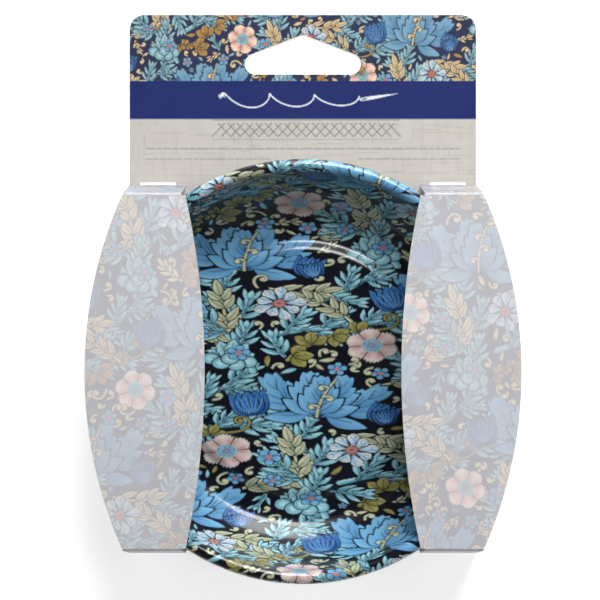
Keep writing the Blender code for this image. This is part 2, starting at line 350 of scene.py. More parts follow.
def trefoil(art, x, y, angle, size, ink="olive"):
    """Three broad leaves from one point."""
    for spread in (-1.15, 1.15, 0.0):
        blade(art, x, y, angle + spread, size, size * 0.66, ink, belly=0.55, bend=-0.15 * spread, veins=3)


def vine(art, x, y, angle, length, turn, ink="olive", size=3.6):
    """A stem with trefoils on alternate sides and a tendril at its end."""
    spine = arc(x, y, angle, length, turn, 12)
    stroke(art, spine, 0.8, 0.6, ink)
    for i, at in enumerate((1, 4, 7, 10)):
        side = 1 if i % 2 else -1
        trefoil(art, *spine[at], angle + turn * at / 12 + side * 0.9, size * (1.0 - 0.08 * i))
    curl(art, *spine[-1], angle + turn, size * 0.8, 1, ink)


def plume(art, x, y, angle, size, ink="blue"):
    """A great flower head: two ragged leaves that sweep out, three that stand, and a pale stem."""
    for spread, long, turn, full in ((-1.25, 1.2, 0.9, 0.42), (1.25, 1.2, -0.9, 0.42), (-0.5, 1.0, 0.5, 0.5),
                                     (0.5, 1.0, -0.5, 0.5), (0.0, 0.9, 0.2, 0.5)):
        lobed(art, x, y, angle + spread, size * long, ink, 4, turn, full)
    spine = arc(x, y, angle + 0.1, size * 0.95, -0.5, 8)
    stroke(art, spine, 0.5, 0.36, "cream")
    for at, side in ((2, 1), (4, -1), (6, 1)):
        curl(art, *spine[at], angle + side * 0.9, size * 0.08, side, "cream")


def cabbage(art, x, y, angle, size, ink="cyan"):
    """A ruffled cluster of scrolls with leaf tips above them."""
    for spread, long in ((-1.0, 0.8), (1.0, 0.8), (-0.45, 0.95), (0.45, 0.95), (0.0, 1.0)):
        blade(art, x, y, angle + spread, size * long, size * 0.42, ink, belly=0.55, veins=5, teeth=4)
    c, s = math.cos(angle), math.sin(angle)
    scrolls = ((0.05, -0.55, 0.24), (0.05, 0.55, 0.24), (-0.12, -0.22, 0.25), (-0.12, 0.22, 0.25),
               (0.12, 0.0, 0.24))
    for u, v, r in scrolls:
        cx, cy = x + size * (u * c - v * s), y + size * (u * s + v * c)
        near, dx, dy = art.near(cx, cy, size * 0.4)
        radius = np.hypot(dx, dy)
        art.lay(near, r * size - radius, mix(*art.ink[ink], np.clip(1.25 - radius / (r * size), 0, 1)))
        winding = (np.arctan2(dy, dx) / (2 * np.pi) + radius / (r * size) * 1.5) % 1.0
        line = np.clip(1 - np.abs(winding - 0.5) / 0.11, 0, 1)
        art.tint(near, (radius < r * size) * line * 0.5, art.ink["line"][0])


# ---------------------------------------------------------------- the floral's layout

# The two steps from one repeat to the next, and where the first one's rose is
REPEAT_A = (12.5, -40.0)
REPEAT_B = (-25.1, -28.8)
ORIGIN = (11.9, 6.6)
# Each motif with its place from the rose, its angle and its sizes. Stems and leaves lie lowest.
LAYERS = (
    (
        (branch, -18.0, 2.5, 0.45, 20.0, -0.35, "cyan", 5, 7.4),
        (branch, -9.5, -36.0, 1.9, 18.0, 0.2, "cyan", 4, 7.8, 1),
        (branch, -20.5, -7.0, 1.9, 14.0, 0.5, "cyan", 3, 7.2),
        (branch, 3.0, -28.0, 0.4, 12.0, 0.5, "cyan", 3, 6.6, 1),
        (vine, -14.5, -4.0, 1.1, 18.0, -1.0),
        (sprig, 12.6, -9.0, 1.65, 11.5, 0.2, "cream", 4, 4.6),
        (sprig, 1.5, -11.0, 0.5, 11.0, -0.4, "cream", 4, 3.9),
        (sprig, -3.5, 6.5, 2.3, 10.5, 0.5, "cream", 4, 3.8),
        (sprig, -5.0, -24.5, -0.4, 9.0, 0.6, "cream", 3, 4.0),
    ),
    (
        (plume, -9.5, -19.5, 1.5, 11.5),
        (cabbage, 13.0, -15.5, 1.5, 6.0),
        (tulip, -20.5, -19.0, 1.85, 6.6),
        (tulip, 1.0, -21.0, 1.3, 5.2),
        (tulip, -9.8, 18.5, 1.9, 4.0),
    ),
    (
        (rose, 0.0, 0.0, 0.2, 4.8),
        (aster, -16.0, 11.5, 0.2, 4.6),
        (floret, 7.3, -1.6, 0.4, 2.1),
        (floret, 8.0, -8.0, 0.1, 1.6),
        (floret, 1.5, -7.6, 0.3, 1.6),
        (floret, -6.0, -6.4, 0.9, 1.7),
        (floret, -23.0, -2.0, 0.9, 2.0),
    ),
)


MOST_REPEATS, REACH = 12, 30    # repeats each way, and how far a repeat's motifs lie from its rose


def compose(art, low, high, seed):
    """The floral's motifs, layer by layer, at every repeat that reaches the area."""
    rng = random.Random(seed)
    repeats = []
    for i in range(-MOST_REPEATS, MOST_REPEATS + 1):
        for j in range(-MOST_REPEATS, MOST_REPEATS + 1):
            x, y = (ORIGIN[k] + REPEAT_A[k] * i + REPEAT_B[k] * j for k in (0, 1))
            if low[0] - REACH < x < high[0] + REACH and low[1] - REACH < y < high[1] + REACH:
                repeats.append((x, y, rng.uniform(-0.12, 0.12)))
    for layer in LAYERS:
        for x, y, tilt in repeats:
            for motif, dx, dy, angle, *more in layer:
                motif(art, x + dx, y + dy, angle + tilt, *more)
    return rng


def fill_gaps(art, low, high, rng, tries):
    """Small leaves, sprigs, florets and tendrils wherever the ground still shows, large ones first."""
    for share, reach in ((0.2, 3.2), (0.2, 2.3), (0.3, 1.5), (0.3, 1.05)):
        for _ in range(int(tries * share)):
            x, y = rng.uniform(low[0], high[0]), rng.uniform(low[1], high[1])
            angle, hand, kind = rng.uniform(0, 2 * math.pi), rng.choice((-1, 1)), rng.random()
            near, dx, dy = art.near(x, y, reach * 0.75)
            if not len(near) or (art.used[near] * (np.hypot(dx, dy) < reach * 0.75)).max() > 0.3:
                continue
            foot = x - reach * 0.9 * math.cos(angle), y - reach * 0.9 * math.sin(angle)
            if reach > 3:
                if kind < 0.45:
                    lobed(art, *foot, angle, reach * 2.2, "cyan", 3, 0.4 * hand)
                elif kind < 0.75:
                    sprig(art, *foot, angle, reach * 1.6, 0.5 * hand, "cream", 3, reach * 0.8)
                else:
                    vine(art, *foot, angle, reach * 1.9, 0.9 * hand, "olive", reach * 0.6)
            elif reach > 2:
                if kind < 0.15:
                    floret(art, x, y, angle, reach * 0.66)
                elif kind < 0.4:
                    lobed(art, *foot, angle, reach * 1.9, "cyan", 2, 0.3 * hand)
                elif kind < 0.65:
                    sprig(art, *foot, angle, reach * 1.3, 0.5 * hand, "cream", 2, reach * 0.75)
                else:
                    curl(art, *foot, angle, reach * 0.8, hand)
            elif kind < 0.62:
                curl(art, *foot, angle, reach * 0.72, hand)
            elif kind < 0.68:
                floret(art, x, y, angle, reach * 0.7)
            else:
                ink = rng.choice(("cream", "cyan", "olive"))
                blade(art, *foot, angle, reach * 1.9, reach * 0.65, ink, bend=0.2 * hand)


DISH_INK = {
    "ground": srgb(4, 5, 22), "line": (srgb(5, 9, 26),) * 2, "vein": (srgb(34, 82, 106), srgb(46, 98, 122)),
    "cyan": (srgb(86, 158, 180), srgb(176, 228, 238)), "blue": (srgb(64, 126, 184), srgb(128, 190, 228)),
    "royal": (srgb(22, 66, 140), srgb(66, 128, 196)), "olive": (srgb(112, 110, 52), srgb(172, 166, 98)),
    "cream": (srgb(154, 164, 130), srgb(218, 222, 190)), "mist": (srgb(120, 170, 200), srgb(232, 240, 242)),
    "petal": (srgb(190, 150, 150), srgb(224, 210, 204)), "blush": srgb(196, 140, 136),
    "eye": (srgb(70, 120, 160), srgb(150, 190, 204)), "heart": (srgb(96, 70, 84), srgb(206, 140, 130)),
}
HEADER_INK = {
    "ground": srgb(42, 46, 78), "line": (srgb(40, 44, 72),) * 2,
    "vein": (srgb(70, 110, 128), srgb(84, 124, 140)),
    "cyan": (srgb(100, 152, 166), srgb(168, 204, 206)), "blue": (srgb(84, 130, 168), srgb(128, 172, 196)),
    "royal": (srgb(38, 82, 142), srgb(70, 120, 172)), "olive": (srgb(150, 108, 48), srgb(196, 154, 84)),
    "cream": (srgb(196, 170, 120), srgb(232, 208, 162)), "mist": (srgb(136, 172, 194), srgb(224, 228, 226)),
    "petal": (srgb(222, 158, 136), srgb(244, 216, 196)), "blush": srgb(216, 134, 112),
    "eye": (srgb(84, 140, 160), srgb(150, 196, 200)), "heart": (srgb(120, 80, 84), srgb(214, 120, 96)),
}
# The front panels carry the same floral under a milky veil. The top flaps' veil is greyer: painted shade
# that dims the flaps, which stand facing the lamps.
VEIL, FLAP_VEIL_PAINTED_SHADE, VEIL_SHARE = srgb(240, 239, 243), srgb(188, 187, 192), 0.6
NAVY, LINEN = srgb(22, 38, 104), srgb(203, 198, 190)
THREAD_WHITE, THREAD_GREY = srgb(238, 240, 246), srgb(120, 120, 124)
# The header: where its floral starts in the repeat, and the navy band's edges from the crease
HEADER_SHIFT = (16.1, 0.6)
BAND_TOP, BAND_FOOT = 29.0, 18.2
SLUBS, STITCH_REACH = 260, 43.0         # short threads in the linen, and half a row of stitches
# Size of the motifs on each printed face
DISH_SCALE, HEADER_SCALE, PANEL_SCALE = 1.0, 0.88, 1.16


def floral(points, ink, scale, seed):
    """The floral over the points, with motifs scaled from the size they are drawn at."""
    art = Print(points / scale, ink)
    low, high = art.low, art.high
    rng = compose(art, low, high, seed)
    area = (high[0] - low[0]) * (high[1] - low[1])
    fill_gaps(art, low, high, rng, int(area * 3.2))
    return art.result()


def header_print(points):
    """Floral above, a navy band with a needle and thread, and linen with rows of stitches below."""
    colours = floral(points + HEADER_SHIFT, HEADER_INK, HEADER_SCALE, 5)
    y = points[:, 1]
    band = np.clip((BAND_TOP - y) / 0.2, 0, 1)[:, None]
    colours += band * (np.array(NAVY) - colours)
    cloth = np.clip((BAND_FOOT - y) / 0.2, 0, 1)[:, None]
    colours += cloth * (np.array(LINEN) - colours)
    rule = np.clip(1.3 - np.abs(y - BAND_FOOT) / 0.16, 0, 1)[:, None]
    colours += rule * 0.85 * (np.array(srgb(235, 236, 240)) - colours)
    inks = {"white": (THREAD_WHITE,) * 2, "grey": (THREAD_GREY,) * 2, "slub": (srgb(172, 166, 154),) * 2,
            "line": (NAVY,) * 2, "pale": (srgb(160, 158, 158),) * 2}
    art = Print(points, inks, colours)
    rng = random.Random(4)
    for _ in range(SLUBS):
        x, y, long = rng.uniform(-47, 47), rng.uniform(0.5, BAND_FOOT - 0.7), rng.uniform(2, 11)
        across = rng.random() < 0.5
        ends = [(x, y), (x + long, y)] if across else [(x, y), (x, min(y + long * 0.6, BAND_FOOT - 0.5))]
        stroke(art, ends, 0.22, 0.14, "slub", outlined=False, strength=rng.uniform(0.1, 0.55))
    thread_and_needle(art, 23.9)
    herringbone(art, -25.0, 25.0, 13.6, 3.6)
    for row in (10.2, 7.4):
        x = -STITCH_REACH
        while x < STITCH_REACH:
            long = rng.choice((1.2, 2.0, 3.1))
            # The lower row is open in the middle.
            if row > 8 or not -12 < x < 15:
                stitch = [(x, row), (min(x + long, STITCH_REACH), row)]
                stroke(art, stitch, 0.42, 0.42, "pale", outlined=False, strength=0.8)
            x += long + 0.7
    return art.result()


def thread_and_needle(art, y):
    """A thread that loops along the band and through a needle's eye."""
    def wave(t):
        swing = 6 * math.pi * t
        height = 2.1 * math.sin(swing + 1.2) * (1 - 0.4 * t)
        return (-21.5 + 37 * t - 1.9 * math.sin(swing), y - 0.4 + height)

    stroke(art, [wave(i / 90) for i in range(91)], 0.34, 0.34, "white", outlined=False)
    eye, tip = (15.6, y - 0.2), (26.0, y + 1.5)
    angle = math.atan2(tip[1] - eye[1], tip[0] - eye[0])
    blade(art, *eye, angle, 10.6, 0.95, "white", belly=0.22, rib=False, outlined=False)
    blade(art, eye[0] + 0.5, eye[1] + 0.08, angle, 1.9, 0.45, "line", rib=False, outlined=False)
    for dx, dy in ((0.0, 0.0), (0.5, 0.3)):
        curl(art, -21.6 + dx, y + 0.7 + dy, 2.2, 0.8, 1, "white")


def herringbone(art, start, end, foot, tall):
    """A band of crossed stitches."""
    step = 2.6
    for i in range(int((end - start) / step)):
        x = start + i * step
        for stitch in ([(x, foot), (x + step * 1.3, foot + tall)],
                       [(x + step * 0.65, foot + tall), (x + step * 1.95, foot)]):
            stroke(art, stitch, 0.3, 0.3, "grey", outlined=False, strength=0.85)
    for edge in (foot - 0.9, foot + tall + 0.9):
        stroke(art, [(start, edge), (end + 1.5, edge)], 0.2, 0.2, "pale", outlined=False)


def veiled(points, seed, veil):
    colours = floral(points, HEADER_INK, PANEL_SCALE, seed)
    return colours + VEIL_SHARE * (np.array(veil) - colours)


# ---------------------------------------------------------------- materials

class Nodes:
    """Short names for the nodes of one material."""

    def __init__(self, name, **sockets):
        self.material = bpy.data.materials.new(name)
        self.material.use_nodes = True
        self.tree = self.material.node_tree
        self.shader = self.tree.nodes["Principled BSDF"]
        self.place = self.tree.nodes.new("ShaderNodeTexCoord").outputs["Object"]
        for socket, value in sockets.items():
            self.shader.inputs[socket.replace("_", " ")].default_value = value

    def new(self, kind, **settings):
        node = self.tree.nodes.new("ShaderNode" + kind)
        for key, value in settings.items():
            setattr(node, key, value)
        return node

    def link(self, source, node, socket):
        self.tree.links.new(source, node.inputs[socket])

    def noise(self, scale, detail=3.0, roughness=0.5, stretch=None):
        node = self.new("TexNoise")
        node.inputs["Scale"].default_value = scale
        node.inputs["Detail"].default_value = detail
        node.inputs["Roughness"].default_value = roughness
        place = self.place
        if stretch:
            mapping = self.new("Mapping")
            mapping.inputs["Scale"].default_value = stretch
            self.link(place, mapping, "Vector")
            place = mapping.outputs["Vector"]
        self.link(place, node, "Vector")
        return node.outputs["Fac"]

    def ramp(self, source, low, high, start=0.3, end=0.7):
        node = self.new("MapRange")
        node.inputs["From Min"].default_value, node.inputs["From Max"].default_value = start, end
        node.inputs["To Min"].default_value, node.inputs["To Max"].default_value = low, high
        self.link(source, node, "Value")
        return node.outputs["Result"]

    def blend(self, factor, one, two, mode="MIX"):
        """A mix of two colours, each a socket or a constant."""
        node = self.new("Mix", data_type="RGBA", blend_type=mode)
        for socket, value in (("Factor", factor), ("A", one), ("B", two)):
            at = next(s for s in node.inputs if s.name == socket and s.enabled)
            if hasattr(value, "default_value") or hasattr(value, "is_output"):
                self.tree.links.new(value, at)
            else:
                at.default_value = value if socket == "Factor" else (*value, 1)
        return next(s for s in node.outputs if s.enabled)

    def bump(self, height, strength, distance):
        node = self.new("Bump")
        node.inputs["Strength"].default_value = strength
        node.inputs["Distance"].default_value = distance
        self.link(height, node, "Height")
        self.link(node.outputs["Normal"], self.shader, "Normal")

    def colour(self, source):
        self.link(source, self.shader, "Base Color")

    def rough(self, source, low, high):
        self.link(self.ramp(source, low, high), self.shader, "Roughness")


def printed(name, low, high, bump_scale, bump, **sockets):
    """Ink from the print attribute, with uneven laydown, a varying gloss and the surface's own texture."""
    nodes = Nodes(name, **sockets)
    ink = nodes.new("Attribute", attribute_name="print").outputs["Color"]
    shade = nodes.ramp(nodes.noise(260, 4), 0.96, 1.02)
    grey = nodes.new("CombineColor")
    for channel in ("Red", "Green", "Blue"):
        nodes.link(shade, grey, channel)
    nodes.colour(nodes.blend(1.0, ink, grey.outputs["Color"], "MULTIPLY"))
    nodes.rough(nodes.noise(90, 4), low, high)
    nodes.bump(nodes.noise(bump_scale, 5, 0.6), bump, 0.0001)
    return nodes.material


def plain(name, one, two, scale, low, high, bump_scale, bump, stretch=None, **sockets):
    """Two colours that run into each other, with a matching change of gloss and a fine relief."""
    nodes = Nodes(name, **sockets)
    nodes.colour(nodes.blend(nodes.ramp(nodes.noise(scale, 5, 0.6, stretch), 0, 1), one, two))
    nodes.rough(nodes.noise(scale * 0.6, 4), low, high)
    nodes.bump(nodes.noise(bump_scale, 6, 0.65, stretch), bump, 0.0001)
    return nodes.material


# ---------------------------------------------------------------- meshes

def printed_colours(mesh, colours):
    """Stores a linear colour for each vertex, for the materials to read."""
    layer = mesh.color_attributes.new("print", "FLOAT_COLOR", "POINT")
    rgba = np.ones((len(mesh.vertices), 4), np.float32)
    rgba[:, :3] = colours
    layer.data.foreach_set("color", rgba.ravel())


def add_object(name, mesh, materials, body, replaces=None):
    obj = bpy.data.objects.new(name, mesh)
    bpy.context.scene.collection.objects.link(obj)
    for material in materials:
        obj.data.materials.append(material)
    if replaces:
        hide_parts(replaces)
    if body:
        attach(obj, body)
    return obj


def face_out(mesh):
    bm = bmesh.new()
    bm.from_mesh(mesh)
    bmesh.ops.recalc_face_normals(bm, faces=bm.faces)
    bm.to_mesh(mesh)
    bm.free()


def smooth_mesh(name, points, faces):
    mesh = bpy.data.meshes.new(name)
    mesh.from_pydata(points, [], faces)
    face_out(mesh)
    mesh.shade_smooth()
    mesh.set_sharp_from_angle(angle=SMOOTH_ANGLE)
    return mesh


def resampled(outline, spacing):
    """The closed outline with extra points, none further apart than the spacing."""
    points = []
    for (ax, ay), (bx, by) in zip(outline, outline[1:] + outline[:1]):
        steps = max(1, math.ceil(math.hypot(bx - ax, by - ay) / spacing))
        points += [(ax + (bx - ax) * i / steps, ay + (by - ay) * i / steps) for i in range(steps)]
    return points


def inside_of(points, outline):
    """Which points are inside the outline, by counting crossings."""
    x, y = points[:, 0], points[:, 1]
    inside = np.zeros(len(points), bool)
    for (ax, ay), (bx, by) in zip(outline, outline[1:] + outline[:1]):
        if ay == by:
            continue
        crosses = (ay > y) != (by > y)
        inside ^= crosses & (x < (bx - ax) * (y - ay) / (by - ay) + ax)
    return inside


def away_from(points, outline, gap):
    """Which points are at least the gap from every edge of the outline."""
    clear = np.ones(len(points), bool)
    for (ax, ay), (bx, by) in zip(outline, outline[1:] + outline[:1]):
        near = np.nonzero(clear & (points[:, 0] > min(ax, bx) - gap) & (points[:, 0] < max(ax, bx) + gap)
                          & (points[:, 1] > min(ay, by) - gap) & (points[:, 1] < max(ay, by) + gap))[0]
        along = np.array([bx - ax, by - ay])
        start = points[near] - (ax, ay)
        t = np.clip(start @ along / (along @ along), 0, 1)
        clear[near[np.hypot(*(start - t[:, None] * along).T) < gap]] = False
    return clear


def ring_edges(rings):
    """The edges of closed rings whose points follow one another, each ring given by its length."""
    edges, first = [], 0
    for length in rings:
        edges += [(first + i, first + (i + 1) % length) for i in range(length)]
        first += length
    return edges


def filled(points, rings, hole):
    """(points, triangles) of a flat mesh of the points, between its rim ring and the hole, if any."""
    rim = [list(range(rings[0]))]
    made, _, faces, *_ = geometry.delaunay_2d_cdt(points, ring_edges(rings), rim, 1, 1e-6)
    made, faces = np.array(made), np.array(faces)
    if hole:
        faces = faces[~inside_of(made[faces].mean(axis=1), hole)]
    return made, faces


def sheet_faces(outline, hole, spacing):
    """(points, triangles, ring lengths) of an evenly spaced mesh between the outline and the hole."""
    rings = [resampled(loop, spacing) for loop in [outline] + ([hole] if hole else [])]
    low, high = np.min(outline, axis=0), np.max(outline, axis=0)
    rows = np.arange(low[1], high[1], spacing * 0.866)
    columns = np.arange(low[0], high[0], spacing)
    x, y = np.meshgrid(columns, rows)
    x = x + (np.arange(len(rows)) % 2)[:, None] * spacing / 2
    points = np.stack([x.ravel(), y.ravel()], 1)
    points = points[inside_of(points, outline) & away_from(points, rings[0], spacing * 0.6)]
    if hole:
        points = points[~inside_of(points, hole) & away_from(points, rings[1], spacing * 0.6)]
    everything = [Vector(p) for ring in rings for p in ring] + [Vector(p) for p in points.tolist()]
    lengths = [len(ring) for ring in rings]
    return *filled(everything, lengths, rings[1] if hole else None), lengths


def card_mesh(name, outline, hole, spacing, bow):
    """A sheet of card with a dense printed face, a plain back and cut edges between them, and its
    printed points. The card bows out of its plane by `bow`, a function of x and y."""
    front, front_faces, rings = sheet_faces(outline, hole, spacing)
    count = sum(rings)
    # The back's rim has the front's points, so that the two close into one solid.
    rim = front[:count]
    inner_outline = [tuple(p) for p in rim[:rings[0]]]
    inner_hole = [tuple(p) for p in rim[rings[0]:]] or None
    rows = np.arange(rim[:, 1].min() + 2, rim[:, 1].max() - 1, BACK_SPACING)
    columns = np.arange(rim[:, 0].min() + 2, rim[:, 0].max() - 1, BACK_SPACING)
    fill = np.stack([c.ravel() for c in np.meshgrid(columns, rows)], 1)
    fill = fill[inside_of(fill, inner_outline) & away_from(fill, inner_outline, 1.0)]
    if inner_hole:
        fill = fill[~inside_of(fill, inner_hole) & away_from(fill, inner_hole, 1.0)]
    back, back_faces = filled([Vector(p) for p in rim.tolist() + fill.tolist()], rings, inner_hole)
    lift = bow(front[:, 0], front[:, 1])
    top = np.column_stack([front, lift + CARD / 2])
    low = np.column_stack([back, bow(back[:, 0], back[:, 1]) - CARD / 2])
    shift = len(top)
    sides = [(a, shift + a, shift + b, b) for a, b in ring_edges(rings)]
    faces = [tuple(f) for f in front_faces.tolist()]
    faces += [(c + shift, b + shift, a + shift) for a, b, c in back_faces.tolist()]
    mesh = bpy.data.meshes.new(name)
    mesh.from_pydata((np.vstack([top, low]) * MM).tolist(), [], faces + sides)
    face_out(mesh)
    raw = np.ones(len(mesh.polygons), np.int32)
    raw[:len(front_faces)] = 0
    mesh.polygons.foreach_set("material_index", raw)
    smooth = np.zeros(len(mesh.polygons), bool)
    smooth[:len(front_faces) + len(back_faces)] = True
    mesh.polygons.foreach_set("use_smooth", smooth)
    mesh.set_sharp_from_angle(angle=math.radians(40))
    return mesh, front


def spread(start, end, steps):
    return [start + (end - start) * i / steps for i in range(steps + 1)]


def corner(centre, radius, start, end, steps=10):
    return [(centre[0] + radius * math.cos(math.radians(a)), centre[1] + radius * math.sin(math.radians(a)))
            for a in spread(start, end, steps)]


def arc_half_width(y, reach, at_ends, at_middle):
    """Half width at y of an edge that is one circular arc from -reach to reach."""
    sag = at_middle - at_ends
    radius = (reach * reach + sag * sag) / (2 * abs(sag))
    return at_middle - math.copysign(radius - math.sqrt(radius * radius - y * y), sag)


def mirrored(outline):
    return [(-x, y) for x, y in reversed(outline)]


def back_outline():
    reach, low = BACK_Y - CREASE_GAP, BACK_Y - 2 * CREASE_GAP
    half_notch = TAB_HALF_WIDTH + TAB_CLEARANCE
    right = [(arc_half_width(y, BACK_Y, END_HALF_WIDTH, SIDE_HALF_WIDTH), y)
             for y in spread(-reach, reach, 40)]
    right += [(TAB_MIDDLE_X + half_notch, reach), (TAB_MIDDLE_X + half_notch, low),
              (TAB_MIDDLE_X - half_notch, low), (TAB_MIDDLE_X - half_notch, reach)]
    return right + mirrored(right)


def header_outline():
    top, half_notch = HEADER_TOP - BACK_Y, TAB_HALF_WIDTH + TAB_CLEARANCE
    right = [(TAB_MIDDLE_X - half_notch, CREASE_GAP), (TAB_MIDDLE_X - half_notch, TAB_NOTCH),
             (TAB_MIDDLE_X + half_notch, TAB_NOTCH), (TAB_MIDDLE_X + half_notch, CREASE_GAP),
             (END_HALF_WIDTH, CREASE_GAP)]
    right += corner((END_HALF_WIDTH - HEADER_CORNER, top - HEADER_CORNER), HEADER_CORNER, 0, 90)
    return right + mirrored(right)


def slot_outline():
    bottom = SLOT_BOTTOM - BACK_Y
    end = (SLOT_HALF_WIDTH - SLOT_END_RADIUS, bottom + SLOT_END_RADIUS)
    peak = (0.0, bottom + SLOT_HEIGHT - SLOT_PEAK_RADIUS)
    run, rise = end[0], peak[1] - end[1]
    between = math.asin((SLOT_END_RADIUS - SLOT_PEAK_RADIUS) / math.hypot(run, rise))
    tilt = math.degrees(math.atan2(run, rise) + between)
    right = corner(end, SLOT_END_RADIUS, -90, tilt, 14) + corner(peak, SLOT_PEAK_RADIUS, tilt, 90, 6)
    return right + mirrored(right)[1:]


def front_outline():
    low, high = CREASE_GAP - FRONT_Y, FRONT_Y - CREASE_GAP
    outer = [(arc_half_width(y, FRONT_Y, END_HALF_WIDTH, SIDE_HALF_WIDTH), y + FRONT_Y)
             for y in spread(low, high, 40)]
    inner = [(arc_half_width(y, FRONT_Y, WINDOW_END, WINDOW_MIDDLE), y + FRONT_Y)
             for y in spread(high, low, 40)]
    return outer + inner


FLAP_LENGTH = math.hypot(BACK_Y - FRONT_Y, FRONT_Z - BACK_Z)


def bottom_flap_outline():
    low, high = CREASE_GAP, FLAP_LENGTH - CREASE_GAP
    return [(FLAP_INNER_X, low), (END_HALF_WIDTH, low), (END_HALF_WIDTH, high), (FLAP_INNER_X, high)]


def top_flap_outline():
    low, high, tip = CREASE_GAP, FLAP_LENGTH - FLAP_LIFT, FLAP_LENGTH + TAB_REACH
    return [(FLAP_INNER_X, low), (END_HALF_WIDTH, low), (END_HALF_WIDTH, high),
            (TAB_MIDDLE_X + TAB_HALF_WIDTH, high), (TAB_MIDDLE_X + TAB_HALF_WIDTH - 1, tip),
            (TAB_MIDDLE_X - TAB_HALF_WIDTH + 1, tip), (TAB_MIDDLE_X - TAB_HALF_WIDTH, high),
            (FLAP_INNER_X, high)]


def flat(x, y):
    return np.zeros(len(x))


def front_bow(x, y):
    """The front panels bow up a little between their creases, most at the window."""
    along = (y - FRONT_Y) / FRONT_Y
    return 0.35 * (1 - along ** 2) * np.clip((SIDE_HALF_WIDTH - np.abs(x)) / 30, 0, 1)


def crease_frame(y, z, slope=0.0):
    return Matrix.Translation((0, y * MM, z * MM)) @ Matrix.Rotation(slope, 4, "X")


SLOPE = math.atan2(FRONT_Z - BACK_Z, BACK_Y - FRONT_Y)
PLACES = {
    "back": crease_frame(0, BACK_Z),
    "header": crease_frame(BACK_Y, BACK_Z),
    "bottom": crease_frame(-BACK_Y, BACK_Z, SLOPE),
    "front": crease_frame(-FRONT_Y, FRONT_Z),
    "top": crease_frame(FRONT_Y, FRONT_Z, -SLOPE),
}


# ---------------------------------------------------------------- dish

def bend(point, heading, radius, turn, steps):
    """Points after `point` on an arc that turns left by `turn` degrees, or right if it is negative."""
    side = math.copysign(1, turn)
    centre = Vector(point) + side * radius * Vector((-math.sin(heading), math.cos(heading)))
    arm = Vector(point) - centre
    turns = (Matrix.Rotation(math.radians(turn * i / steps), 2) for i in range(1, steps + 1))
    return [tuple(centre + rotation @ arm) for rotation in turns]


def dish_path():
    """The upper face of the sheet, from the axis out to the end of the curled rim, with softened corners."""
    floor = FOOT_TOP + FLOOR_RISE
    step_start, step_end = FLOOR_RADIUS, FLOOR_RADIUS + STEP_WIDTH
    path = [(0.0, floor), (step_start - 1.0, floor)]
    for i in range(1, 12):
        t = i / 12
        path.append((step_start - 1.0 + (STEP_WIDTH + 2.0) * t, floor - FLOOR_RISE * (t * t * (3 - 2 * t))))
    path += [(step_end + 1.0, FOOT_TOP), (FOOT_RADIUS, FOOT_TOP)]
    low, high = WALL_LOW_ANGLE, WALL_HIGH_ANGLE
    path += bend(path[-1], 0.0, FOOT_BEND, low, 12)
    path += bend(path[-1], math.radians(low), WALL_BEND, high - low, 40)
    path += bend(path[-1], math.radians(high), CURL_RADIUS, -CURL_TURN, 40)
    return path


def even_steps(path, count):
    """count + 1 points at equal distances along the path, and their distances from its start."""
    path = np.array(path)
    lengths = np.concatenate([[0], np.cumsum(np.hypot(*np.diff(path, axis=0).T))])
    at = np.linspace(0, lengths[-1], count + 1)
    return np.column_stack([np.interp(at, lengths, path[:, 0]), np.interp(at, lengths, path[:, 1])]), at


def square_rings(count):
    """The ring and the angle of each vertex, ring k having 8k of them, and the faces between rings."""
    ring, angle, first = [0], [0.0], [0]
    for k in range(1, count + 1):
        first.append(len(ring))
        ring += [k] * (8 * k)
        angle += [2 * math.pi * (i / (8 * k)) for i in range(8 * k)]
    quads = []
    for k in range(1, count + 1):
        inner, outer = 8 * (k - 1), 8 * k
        for side in range(4):
            for i in range(2 * k):
                a = first[k] + (side * 2 * k + i) % outer
                b = first[k] + (side * 2 * k + i + 1) % outer
                low = first[k - 1] + (side * 2 * (k - 1) + min(max(i - 1, 0), 2 * (k - 1))) % max(inner, 1)
                high = first[k - 1] + (side * 2 * (k - 1) + min(i, 2 * (k - 1))) % max(inner, 1)
                quads.append((low, a, b) if low == high else (low, a, b, high))
    return np.array(ring), np.array(angle), quads


DISH_STRETCH = 1.58      # how much wider than tall the print is drawn on the dish


def build_dish(material, outside):
    """The printed inside of the bowl with its rim, and the plain tin outside, which meets it in the curl."""
    path = dish_path()
    count = 245
    profile, lengths = even_steps(path, count)
    ring, angle, quads = square_rings(count)
    radius, height = profile[ring, 0], profile[ring, 1]
    points = np.column_stack([radius * np.cos(angle), radius * np.sin(angle), height])
    mesh = bpy.data.meshes.new("dish_print")
    mesh.from_pydata((points * MM).tolist(), [], quads)
    mesh.shade_smooth()
    blank = lengths[ring]
    artwork = np.column_stack([blank * np.cos(angle) / DISH_STRETCH, blank * np.sin(angle)])
    printed_colours(mesh, floral(artwork, DISH_INK, DISH_SCALE, 11))
    add_object("dish_print", mesh, [material], "dish", "dish_shell")

    # The outside is the same path moved through the sheet. It ends back on the print, in the curl.
    lower = offset_path(path, SHEET)
    segments = 256
    skin = [(0.0, lower[0][1])] + lower[1:] + [path[-1]]
    lathe("dish_outside", skin, segments, [outside], "dish")


def offset_path(path, distance):
    """The path moved sideways, to the right of its direction."""
    moved = []
    for i in range(len(path)):
        along = Vector(path[min(i + 1, len(path) - 1)]) - Vector(path[max(i - 1, 0)])
        along.normalize()
        moved.append(tuple(Vector(path[i]) + distance * Vector((along.y, -along.x))))
    return moved


